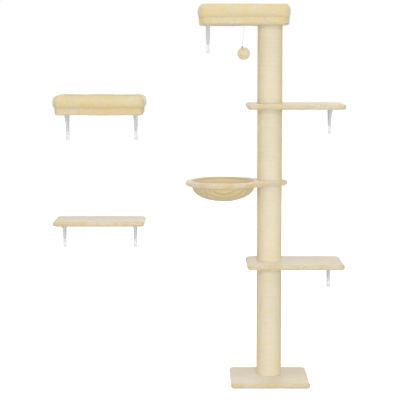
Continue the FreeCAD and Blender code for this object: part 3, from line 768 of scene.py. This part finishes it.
RING_CENTRE = Vector((-223, -32)) * MM
RING_RADIUS = 180 * MM
RING_SEGMENTS = 96
RING_EDGE = 10 * MM
RING_MESH = 4 * MM
MOUTH_RADIUS = 146 * MM
COLLAR_RADIUS = 85 * MM
COLLAR_SEGMENTS = 64
# At its back, the ring's plush stands up by so much.
RING_RISE = 3.5 * MM
# How many steps the ring's rounded edges have, and how far the mouth's cutter runs past it.
ROUND_STEPS = 5
BEYOND = 5 * MM


def ring_hull(low, high):
    """The ring and its collar without the mouth: the hull of two flat discs, whose spare
    vertices and edges are dissolved."""
    bm = bmesh.new()
    for centre, radius, segments in (
        (RING_CENTRE, RING_RADIUS, RING_SEGMENTS),
        (Vector((0, 0)), COLLAR_RADIUS, COLLAR_SEGMENTS),
    ):
        bmesh.ops.create_cone(
            bm,
            cap_ends=True,
            segments=segments,
            radius1=radius,
            radius2=radius,
            depth=high - low,
            matrix=Matrix.Translation((centre.x, centre.y, (low + high) / 2)),
        )
    hull = bmesh.ops.convex_hull(bm, input=bm.verts)
    spare = hull["geom_interior"] + hull["geom_unused"]
    inner = [item for item in spare if isinstance(item, bmesh.types.BMVert)]
    bmesh.ops.delete(bm, geom=inner, context="VERTS")
    bmesh.ops.dissolve_limit(
        bm, angle_limit=math.radians(0.5), verts=bm.verts, edges=bm.edges
    )
    return bm


def mouth_cutter(low, high):
    """What the mouth leaves out of the ring: a plug that flares at both ends, so that the
    ring's inner edges come out round."""
    bm = bmesh.new()
    wide = MOUTH_RADIUS + RING_EDGE
    step = 90 / ROUND_STEPS
    outline = [Vector((0, 0, low - BEYOND)), Vector((wide, 0, low - BEYOND))]
    for i in range(ROUND_STEPS + 1):
        angle = math.radians(i * step)
        reach = wide - RING_EDGE * math.sin(angle)
        outline.append(Vector((reach, 0, low + RING_EDGE - RING_EDGE * math.cos(angle))))
    for i in range(ROUND_STEPS + 1):
        angle = math.radians(90 - i * step)
        reach = wide - RING_EDGE * math.sin(angle)
        outline.append(Vector((reach, 0, high - RING_EDGE + RING_EDGE * math.cos(angle))))
    outline += [Vector((wide, 0, high + BEYOND)), Vector((0, 0, high + BEYOND))]
    verts = [bm.verts.new(point) for point in outline]
    edges = [bm.edges.new(pair) for pair in zip(verts, verts[1:])]
    bmesh.ops.spin(
        bm,
        geom=verts + edges,
        cent=(0, 0, 0),
        axis=(0, 0, 1),
        dvec=(0, 0, 0),
        angle=math.tau,
        steps=RING_SEGMENTS,
        use_merge=True,
        use_duplicate=False,
    )
    bmesh.ops.remove_doubles(bm, verts=bm.verts, dist=NEAR)
    bmesh.ops.recalc_face_normals(bm, faces=bm.faces)
    bmesh.ops.translate(bm, vec=(RING_CENTRE.x, RING_CENTRE.y, 0), verts=bm.verts)
    mesh = bpy.data.meshes.new("mouth")
    bm.to_mesh(mesh)
    bm.free()
    cutter = bpy.data.objects.new("mouth", mesh)
    bpy.context.scene.collection.objects.link(cutter)
    return cutter


def hammock_ring():
    """The ring and the collar in one plush cover, with a round mouth."""
    low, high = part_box("hammock_cover")
    bm = ring_hull(low.z, high.z)
    for height in (low.z, high.z):
        level = [e for e in bm.edges if is_level_at(e, height) and len(e.link_faces) == 2]
        round_edges(bm, level, RING_EDGE, ROUND_STEPS)
    mouth = mouth_cutter(low.z, high.z)
    bm = evaluated(bm, ("BOOLEAN", {"object": mouth, "solver": "EXACT"}))
    bpy.data.objects.remove(mouth)
    bm = remeshed(bm, RING_MESH)
    soften(bm, 2)
    for vert in bm.verts:
        back = (vert.co.y - RING_CENTRE.y) / RING_RADIUS
        is_top = vert.co.z > (low.z + high.z) / 2
        if is_top and back > 0 and vert.co.x < -COLLAR_RADIUS:
            vert.co.z += RING_RISE * back
    rumple(bm, (50 * MM, 1.0 * MM), (13 * MM, 0.4 * MM))
    keep_off(bm, "hammock_board", BOARD_SKIN)
    new_piece("hammock_ring_plush", bm, "short_plush", TREE, "hammock_cover")


# ---- The hammock's bowl --------------------------------------------------------------

# How far the bowl hangs from its brim, and how far its bottom lies above its node's.
BOWL_DROP = 67 * MM
BOWL_LIFT = 3 * MM
BOWL_CLOTH = 4 * MM
BOWL_SEGMENTS = 192
BOWL_RINGS = 120
# What the bowl clears the mouth by, and the rows of its upright hem.
BOWL_GAP = 0.4 * MM
HEM_ROWS = 3
# Just under the ring, the cloth bulges out: by how much, over what height and how far down.
BOWL_FLARE = 6 * MM
FLARE_HEIGHT = 8 * MM
FLARE_BELOW = 3 * MM
# The channels: how far apart their seams lie over the cloth, how far the stuffing swells
# between them, the power that gives them a full section, the part of an arch at which the
# cloth keeps its place, and the depth under the brim at which they are full.
RIB = 29.7 * MM
RIB_SWELL = 3.4 * MM
RIB_FULLNESS = 0.55
RIB_LEVEL = 0.6
RIB_FADE = 9 * MM
# Up to this part of an arch from a seam, the colour is darkened as painted shade in the
# channel's furrow.
SEAM_SHADE_ARCH = 0.4
# The seams wander by so much, in so many waves to a metre along and across them.
RIB_WANDER = 1.5 * MM
WANDER_X = 9
WANDER_Y = 5
WANDER_SEED = 0.3
# The bowl sags unevenly by so much, over such widths.
BOWL_SAG = 1.6 * MM
SAG_WIDTH = 60 * MM
# How far the bowl's inside is made paler: painted light in its hollow.
BOWL_INSIDE_LIGHT = 0.9


def over_the_cloth(y):
    """How far a point of the bowl is from its lowest line, measured over the cloth."""
    lean = math.asin(max(-1.0, min(1.0, y / MOUTH_RADIUS)))
    steps = 24
    length = 0
    for i in range(steps):
        angle = lean * (i + 0.5) / steps
        length += math.hypot(MOUTH_RADIUS * math.cos(angle), BOWL_DROP * math.sin(angle))
    return length * lean / steps


def bowl_blank(hem_height):
    """The bowl's cloth before it is stuffed: half a flattened ball, whose brim is at nought,
    with a hem that stands up from it."""
    radius = MOUTH_RADIUS - BOWL_GAP
    bm = bmesh.new()
    bmesh.ops.create_uvsphere(
        bm, u_segments=BOWL_SEGMENTS, v_segments=BOWL_RINGS, radius=1
    )
    upper = [vert for vert in bm.verts if vert.co.z > 1e-4]
    bmesh.ops.delete(bm, geom=upper, context="VERTS")
    bmesh.ops.scale(bm, vec=(radius, radius, BOWL_DROP), verts=bm.verts)
    for _ in range(HEM_ROWS):
        hem = [edge for edge in bm.edges if edge.is_boundary]
        grown = bmesh.ops.extrude_edge_only(bm, edges=hem)["geom"]
        top = {item for item in grown if isinstance(item, bmesh.types.BMVert)}
        bmesh.ops.translate(bm, vec=(0, 0, hem_height / HEM_ROWS), verts=list(top))
    bmesh.ops.recalc_face_normals(bm, faces=bm.faces)
    bmesh.ops.solidify(bm, geom=bm.faces, thickness=BOWL_CLOTH)
    bmesh.ops.recalc_face_normals(bm, faces=bm.faces)
    return bm


def hammock_bowl():
    """The bowl of ribbed plush. It is sewn in channels, a rib apart, that run from side to
    side, and swells between them on both of its faces. Its hem stands up in the ring."""
    low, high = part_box("hammock_bowl")
    brim = low.z + BOWL_LIFT + BOWL_DROP
    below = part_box("hammock_cover")[0].z - brim - FLARE_BELOW
    bm = bowl_blank(high.z - brim)
    bm.normal_update()
    seam = bm.verts.layers.float.new(SEAM_SHADE)
    fluff = bm.verts.layers.float.new(BRUSHED_AND_PAINTED_LIGHT)
    for vert in bm.verts:
        wave = Vector((vert.co.x * WANDER_X, vert.co.y * WANDER_Y, WANDER_SEED))
        wander = noise.noise(wave) * RIB_WANDER
        arch = abs(math.sin(math.pi * (over_the_cloth(vert.co.y) + wander) / RIB))
        sag = noise.noise(vert.co / SAG_WIDTH) * BOWL_SAG
        fade = max(0.0, min(1.0, -vert.co.z / RIB_FADE))
        vert.co += vert.normal * RIB_SWELL * (arch ** RIB_FULLNESS - RIB_LEVEL) * fade
        vert.co += vert.co.normalized() * sag * fade
        flare = BOWL_FLARE * math.exp(-(((vert.co.z - below) / FLARE_HEIGHT) ** 2))
        vert.co += Vector((vert.co.x, vert.co.y, 0)).normalized() * flare
        # Painted shade: the colour is darkened along the channels' seams.
        vert[seam] = fade * max(0.0, 4 * (SEAM_SHADE_ARCH - arch))
        # Painted light: the bowl's inside is made paler, towards the pile's tips.
        vert[fluff] = BOWL_INSIDE_LIGHT if vert.normal.dot(vert.co) < 0 else 0.0
    place = Vector((RING_CENTRE.x, RING_CENTRE.y, brim))
    bmesh.ops.translate(bm, vec=place, verts=bm.verts)
    piece = new_piece("hammock_bowl_plush", bm, "bowl_plush", TREE, "hammock_bowl")


# ---- Beds ----------------------------------------------------------------------------

BED_CORNER = 42 * MM
BED_MESH = 5 * MM
# How many steps the stuffing takes to settle.
STUFFING_STEPS = 20

BOLSTER_WIDTH = 62 * MM
BOLSTER_FOOT = 5 * MM
BOLSTER_CROWN = 30 * MM
# How deep the bolster presses into the deck.
BOLSTER_PRESS = 3 * MM
# The bolster is cut smaller by this, because its stuffing swells it again.
BOLSTER_TAKE_UP = 1.8 * MM
# Its outside leans in towards the crown by this. The powers say how late its sides turn in,
# towards the foot and towards the crown.
CROWN_LEAN = 5 * MM
FOOT_TURN = 6
CROWN_TURN = 3
# How hard it is stuffed, how far it may swell, and what the seams at its foot and its crown
# hold.
BOLSTER_PRESSURE = 4.0
BOLSTER_SWELL = 7 * MM
HELD_FOOT = 3 * MM
HELD_CROWN = 2.5 * MM
# The seams in the roll's mitres, and where it is sewn to the deck.
MITRE_WIDTH = 4 * MM
MITRE_DEPTH = 2.4 * MM
FOOT_SEAM_WIDTH = 2.5 * MM
FOOT_SEAM_DEPTH = 0.6 * MM

# The cushion has the same sizes, and how far its middle is brushed up.
CUSHION_FOOT = 4 * MM
CUSHION_CROWN = 12 * MM
CUSHION_TAKE_UP = 2 * MM
CUSHION_PRESSURE = 3.0
CUSHION_SWELL = 6 * MM
CUSHION_HELD = 5 * MM
CUSHION_SEAM_WIDTH = 3.5 * MM
CUSHION_SEAM_DEPTH = 1.8 * MM
CUSHION_BRUSHED = 0.7


def stuffed(bm, pressure, cap, is_held):
    """Blow a closed cloth shape up, as stuffing does, and take it as it then lies. Vertices
    that are held stay, and none moves further than the cap."""
    mesh = bpy.data.meshes.new("stuffing")
    bm.to_mesh(mesh)
    bm.free()
    bag = bpy.data.objects.new("stuffing", mesh)
    bpy.context.scene.collection.objects.link(bag)
    held = bag.vertex_groups.new(name="held")
    held.add([vert.index for vert in mesh.vertices if is_held(vert.co)], 1.0, "REPLACE")
    cloth = bag.modifiers.new("stuffing", "CLOTH")
    cloth.settings.use_pressure = True
    cloth.settings.uniform_pressure_force = pressure
    cloth.settings.effector_weights.gravity = 0
    cloth.settings.vertex_group_mass = "held"
    cloth.collision_settings.use_collision = False
    scene = bpy.context.scene
    for step in range(1, STUFFING_STEPS + 1):
        scene.frame_set(step)
    result = bmesh.new()
    graph = bpy.context.evaluated_depsgraph_get()
    result.from_mesh(bag.evaluated_get(graph).to_mesh())
    for vert, start in zip(result.verts, mesh.vertices):
        move = vert.co - start.co
        if move.length > cap:
            vert.co = start.co + move.normalized() * cap
    scene.frame_set(1)
    bpy.data.objects.remove(bag)
    return result


def roll_blank(low, high):
    """A closed frame with the bolster's section: round at its crown, and less so at its
    foot, where it presses on the deck."""
    bm = block(low, high)
    caps = [face for face in bm.faces if abs(face.normal.z) > 0.9]
    bmesh.ops.inset_individual(bm, faces=caps, thickness=BOLSTER_WIDTH)
    inner = [edge for face in caps for edge in face.edges]
    bmesh.ops.delete(bm, geom=caps, context="FACES_ONLY")
    bmesh.ops.bridge_loops(bm, edges=inner)
    corners = [edge for edge in bm.edges if is_upright(edge)]
    round_edges(bm, corners, BED_CORNER, CORNER_SEGMENTS)
    for height, radius in ((low.z, BOLSTER_FOOT), (high.z, BOLSTER_CROWN)):
        turned = [e for e in bm.edges if is_level_at(e, height) and e.calc_face_angle() > 1]
        round_edges(bm, turned, radius, EDGE_SEGMENTS)
    return bm


def bolster(name, proud, sunk, raised):
    """A stuffed roll round the deck: four lengths sewn together in mitres at the corners. Its
    foot presses into the deck and is no wider than that, and above its foot it bellies out,
    proud of the deck. Its crown is sunk and its foot raised where the cover is tight."""
    node_name = name + "_bolster"
    low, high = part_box(node_name)
    low.z += raised - BOLSTER_PRESS
    high.z -= sunk
    middle = (low + high) / 2
    half = (high - low) / 2
    bm = remeshed(roll_blank(low, high), BED_MESH)
    bm.normal_update()
    for vert in bm.verts:
        level = Vector((vert.normal.x, vert.normal.y, 0))
        rise = (vert.co.z - middle.z) / half.z
        tuck = max(0.0, -rise) ** FOOT_TURN
        lean = max(0.0, rise) ** CROWN_TURN
        if level.dot(vert.co - middle) < 0:
            tuck = 0
        drawn_in = BOLSTER_TAKE_UP * (1 - tuck) + (proud + DECK_PULL) * tuck + CROWN_LEAN * lean
        vert.co -= level * drawn_in

    def is_held(co):
        return co.z < low.z + HELD_FOOT or co.z > high.z - HELD_CROWN

    def is_inside(vert):
        x, _ = in_from_sides(vert.co, low, high)
        return x > BOLSTER_WIDTH / 3

    def is_outside(vert):
        return vert.normal.dot(vert.co - middle) > 0

    def off_foot(co):
        return co.z - low.z - BOLSTER_PRESS

    bm = stuffed(bm, BOLSTER_PRESSURE, BOLSTER_SWELL, is_held)
    soften(bm, 1)
    crease(bm, lambda co: off_mitre(co, low, high), MITRE_WIDTH, MITRE_DEPTH, is_inside)
    crease(bm, off_foot, FOOT_SEAM_WIDTH, FOOT_SEAM_DEPTH, is_outside)
    rumple(bm, (75 * MM, 1.8 * MM), (26 * MM, 1.0 * MM), (11 * MM, 0.5 * MM))
    piece = new_piece(name + "_bolster_plush", bm, "bed_plush", TREE, node_name)


def cushion(name, sunk):
    """The loose pad inside the roll: crowned, with a seam round its edge, and brushed up in
    the middle, where the cat lies."""
    node_name = name + "_cushion"
    low, high = (corner - Vector((0, 0, sunk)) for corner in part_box(node_name))
    middle = (low + high) / 2
    half = (high - low) / 2
    blank = rounded_block(low, high, BED_CORNER, CUSHION_FOOT, CUSHION_CROWN)
    bm = remeshed(blank, BED_MESH)
    bm.normal_update()
    for vert in bm.verts:
        vert.co -= vert.normal * CUSHION_TAKE_UP

    def is_held(co):
        return co.z < low.z + CUSHION_HELD

    def is_side(vert):
        return abs(vert.normal.z) < 0.6

    bm = stuffed(bm, CUSHION_PRESSURE, CUSHION_SWELL, is_held)
    soften(bm, 1)
    crease(bm, lambda co: co.z - middle.z, CUSHION_SEAM_WIDTH, CUSHION_SEAM_DEPTH, is_side)
    rumple(bm, (60 * MM, 2.0 * MM), (20 * MM, 0.9 * MM))
    fluff = bm.verts.layers.float.new(BRUSHED_AND_PAINTED_LIGHT)
    for vert in bm.verts:
        off = vert.co - middle
        inner = max(0, 1 - (off.x / half.x) ** 2 - (off.y / half.y) ** 2)
        vert[fluff] = CUSHION_BRUSHED * inner
    piece = new_piece(name + "_cushion_plush", bm, "bed_plush", TREE, node_name)


# ---- The toy -------------------------------------------------------------------------

STRING_THICK = 1.8 * MM
LOOP_POINTS = 8
# The knot's outer radius, the points of its route, and the size of one of its turns.
KNOT_RADIUS = 2 * MM
KNOT_POINTS = 15
KNOT_TURN = 0.62 * MM
# The way across the seam between the ball's two halves, and that seam's size.
BALL_SEAM_SIDE = Vector((0.94, 0, 0.34))
BALL_SEAM_WIDTH = 2.2 * MM
BALL_SEAM_DEPTH = 1.3 * MM


def toy_ball():
    """A plush ball of two halves, with the seam between them pulled in a little."""
    low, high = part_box("toy_ball")
    centre = (low + high) / 2
    bm = bmesh.new()
    bmesh.ops.create_icosphere(bm, subdivisions=6, radius=(high.x - low.x) / 2)
    crease(bm, lambda co: co.dot(BALL_SEAM_SIDE), BALL_SEAM_WIDTH, BALL_SEAM_DEPTH)
    rumple(bm, (14 * MM, 0.7 * MM), (4 * MM, 0.7 * MM))
    bmesh.ops.translate(bm, vec=centre, verts=bm.verts)
    piece = new_piece("toy_ball_plush", bm, "ball_plush", BALL, "toy_ball")


def string_curve(name):
    """An empty curve with the string's thickness and finish."""
    curve = bpy.data.curves.new(name, "CURVE")
    curve.dimensions = "3D"
    curve.bevel_depth = STRING_THICK / 2
    curve.bevel_resolution = 3
    curve.use_fill_caps = True
    curve.materials.append(MATERIALS["white_string"])
    return curve


def lay_spline(curve, route, closed=False):
    """Add a smooth line with these control points."""
    spline = curve.splines.new("NURBS")
    spline.points.add(len(route) - 1)
    for point, place in zip(spline.points, route):
        point.co = (*place, 1)
    spline.order_u = 3
    spline.use_endpoint_u = not closed
    spline.use_cyclic_u = closed


def toy_loop():
    """The string's end, passed through the screw eye and tied back on itself: a round loop
    and an overhand knot, pulled tight."""
    low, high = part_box("toy_loop")
    middle = (low + high) / 2
    half = STRING_THICK / 2
    reach = (high.y - low.y) / 2 - half
    loop_at = Vector((middle.x, middle.y, high.z - half - reach))
    knot_at = Vector((middle.x, middle.y, low.z + KNOT_RADIUS))
    # Control points stand off by a thirteenth, so that the line itself has the radius.
    out = reach * 14 / 13
    loop_route = []
    for i in range(LOOP_POINTS):
        turn = math.tau * i / LOOP_POINTS
        loop_route.append(loop_at + out * Vector((0, math.sin(turn), math.cos(turn))))
    knot_route = []
    for i in range(KNOT_POINTS):
        turn = math.tau * i / KNOT_POINTS
        across = math.sin(turn) + 2 * math.sin(2 * turn)
        deep = -1.2 * math.sin(3 * turn)
        up = math.cos(turn) - 2 * math.cos(2 * turn)
        knot_route.append(knot_at + KNOT_TURN * Vector((across, deep, up)))
    curve = string_curve("toy_loop_cord")
    lay_spline(curve, loop_route, closed=True)
    lay_spline(curve, knot_route, closed=True)
    loop = bpy.data.objects.new("toy_loop_cord", curve)
    bpy.context.scene.collection.objects.link(loop)
    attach(loop, LOOP)
    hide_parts("toy_loop")


def toy_string():
    """The cord from its knot under the screw eye to the clip on the ball."""
    low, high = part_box("toy_string")
    half = STRING_THICK / 2
    middle_y = (low.y + high.y) / 2
    top = Vector((high.x - half, middle_y, high.z))
    foot = Vector((low.x + half, middle_y, low.z))
    curve = string_curve("toy_string_cord")
    lay_spline(curve, [top, top.lerp(foot, 0.35), top.lerp(foot, 0.7), foot])
    cord = bpy.data.objects.new("toy_string_cord", curve)
    bpy.context.scene.collection.objects.link(cord)
    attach(cord, BALL)
    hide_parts("toy_string")


# ---- Everything ----------------------------------------------------------------------

set_camera()
set_light()
lay_floor()
finish_cad_nodes()
toy_string()
toy_loop()
toy_ball()
for number in (1, 2, 3, 4):
    wind_post(number)
plush_board("base", corner=16 * MM)
for shelf in ("lower_shelf", "upper_shelf", "plain_shelf"):
    plush_board(shelf, corner=24 * MM)
# The bed shelf's deck is a little thicker than the perch's, and its roll is lower and
# bellies out more.
padded_board("perch", corner=BED_CORNER, foot=11 * MM, pressed=0)
padded_board("bed_shelf", corner=BED_CORNER / 2, foot=7 * MM, pressed=-1.5 * MM)
bolster("perch", proud=4 * MM, sunk=0, raised=0)
bolster("bed_shelf", proud=8 * MM, sunk=4.5 * MM, raised=1.5 * MM)
cushion("perch", sunk=0)
cushion("bed_shelf", sunk=3.5 * MM)
hammock_ring()
hammock_bowl()
